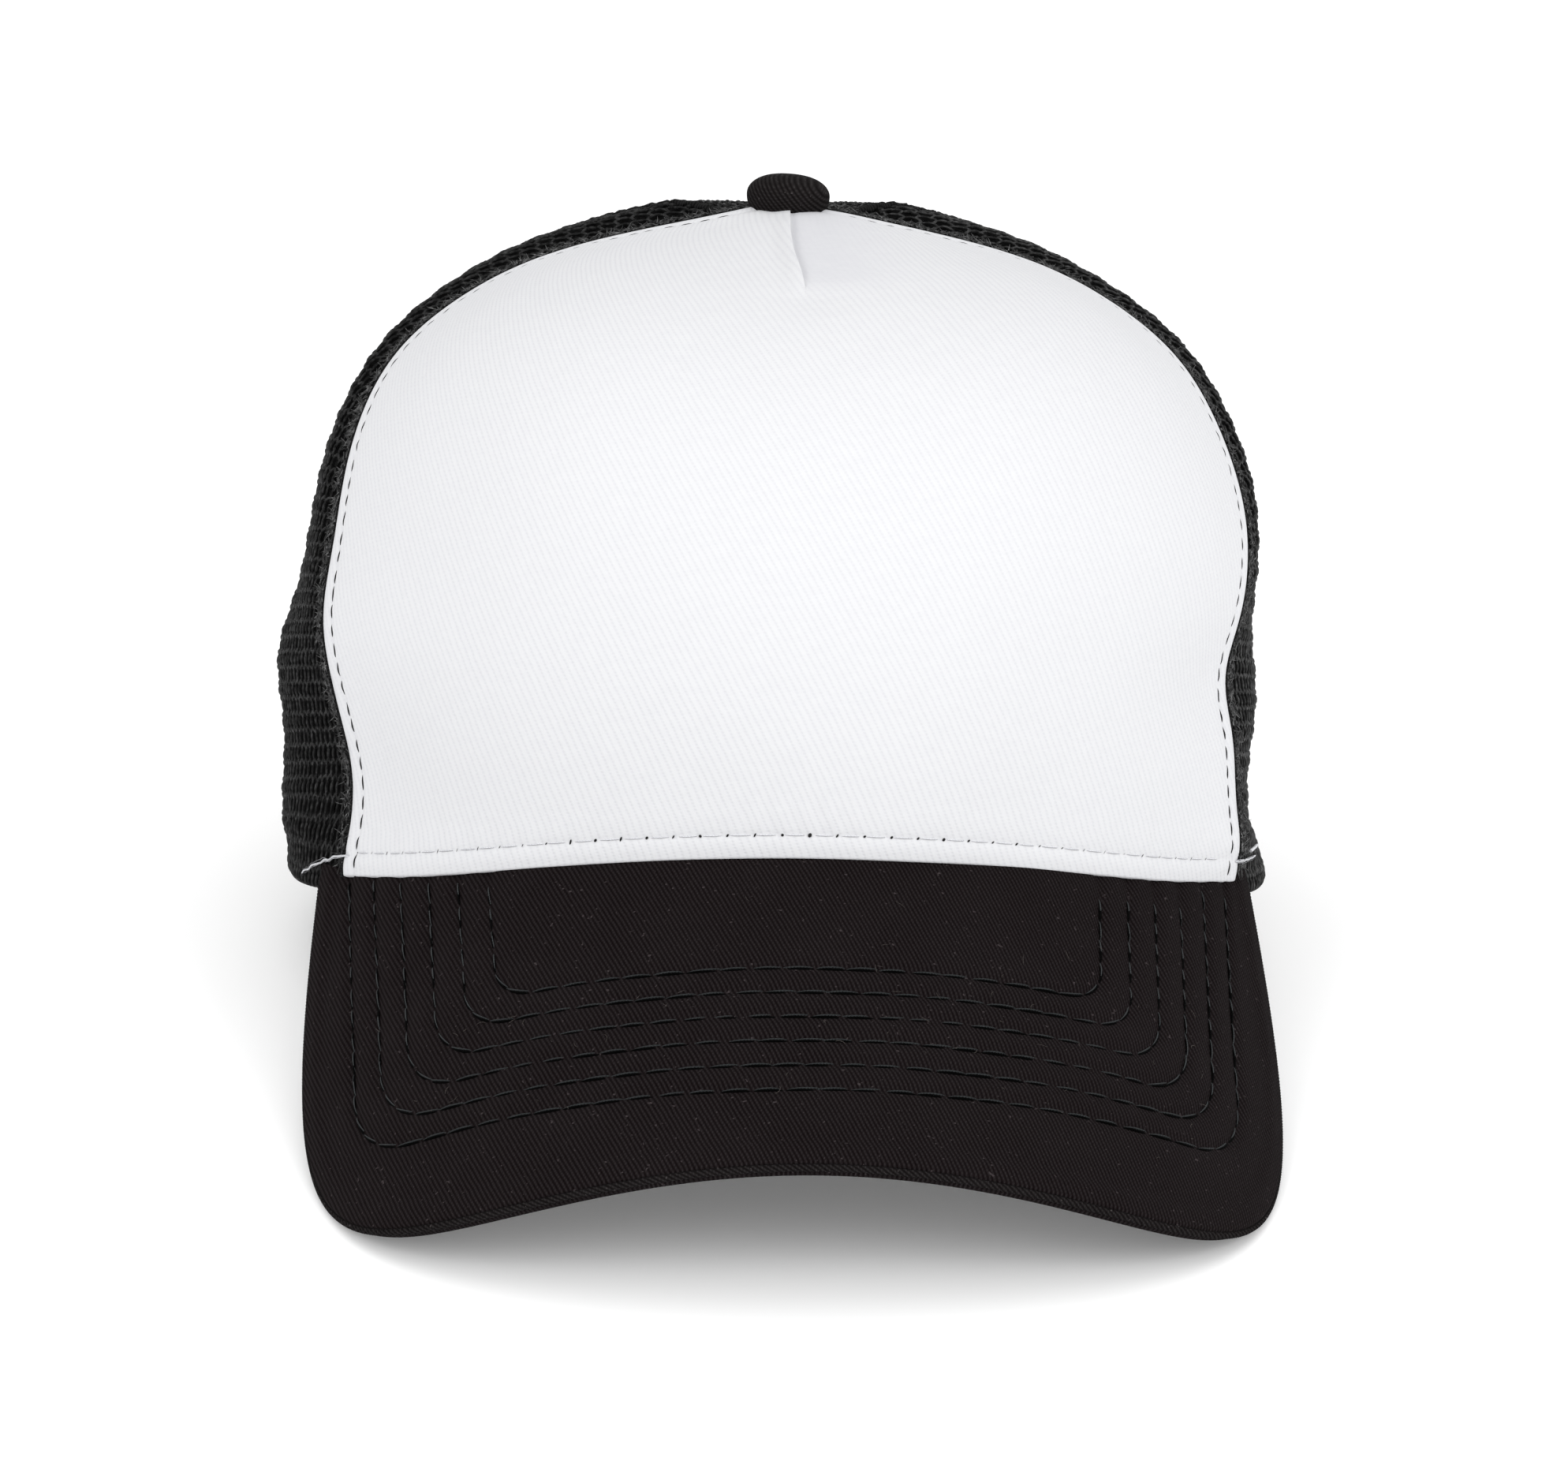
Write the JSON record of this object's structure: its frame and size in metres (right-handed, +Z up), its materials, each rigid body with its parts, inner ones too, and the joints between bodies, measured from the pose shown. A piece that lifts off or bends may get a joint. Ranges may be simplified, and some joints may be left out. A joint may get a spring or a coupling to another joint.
{
  "type": "trucker mesh cap",
  "caption": "Trucker cap with a foam-backed front panel, open mesh sides and back, a stiff curved brim and an adjustable snap-strap closure over the back opening.",
  "frame": {"origin": "centre of the cap's footprint, on the surface that it stands on", "axes": "+Z up, -Y the way the brim points, +X the wearer's left as the cap faces -Y; the cap stands on its brim corners and back hem, so its crown is tipped back by 10 degrees"},
  "size_m": [0.1848, 0.2486, 0.1466],
  "materials": {
    "front_fabric": "white woven polyester, matte",
    "front_foam": "thin white polyurethane foam backing",
    "mesh": "black warp-knit polyester net, slight sheen",
    "binding_tape": "black woven tape, matte",
    "sweatband_fabric": "black cotton twill, matte",
    "strap_plastic": "black moulded plastic, satin",
    "brim_twill": "black cotton twill, matte",
    "brim_board": "white polyethylene sheet",
    "button_metal": "plain pressed steel"
  },
  "bodies": {
    "crown": {"front_panel": "front_fabric", "front_foam": "front_foam", "side_mesh_right": "mesh", "side_mesh_left": "mesh", "rear_mesh_right": "mesh", "rear_mesh_left": "mesh", "hem_binding_right": "binding_tape", "hem_binding_left": "binding_tape", "back_opening_trim": "binding_tape", "seam_tape_front_right": "binding_tape", "seam_tape_front_left": "binding_tape", "seam_tape_rear_right": "binding_tape", "seam_tape_rear_left": "binding_tape", "seam_tape_centre_back": "binding_tape", "sweatband": "sweatband_fabric", "hole_strap_sewn_end": "strap_plastic", "peg_strap_sewn_end": "strap_plastic", "brim_top_cover": "brim_twill", "brim_core": "brim_board", "brim_under_cover": "brim_twill", "button_cover": "brim_twill", "button_shell": "button_metal", "button_rivet": "button_metal"},
    "hole_strap": {"hole_strap": "strap_plastic"},
    "peg_strap": {"peg_strap": "strap_plastic"}
  },
  "joints": [
    {"name": "hole_strap_swing", "type": "hinge", "parent": "crown", "child": "hole_strap", "pos_m": [0.03934, 0.10962, 0.01281], "axis": [0, -0.1743, -0.9847], "range_deg": [0, 50], "stiffness_Nm_per_rad": 0.01},
    {"name": "peg_strap_swing", "type": "hinge", "parent": "crown", "child": "peg_strap", "pos_m": [-0.03934, 0.10962, 0.01281], "axis": [0, -0.1743, -0.9847], "range_deg": [0, 35], "stiffness_Nm_per_rad": 0.01}
  ]
}
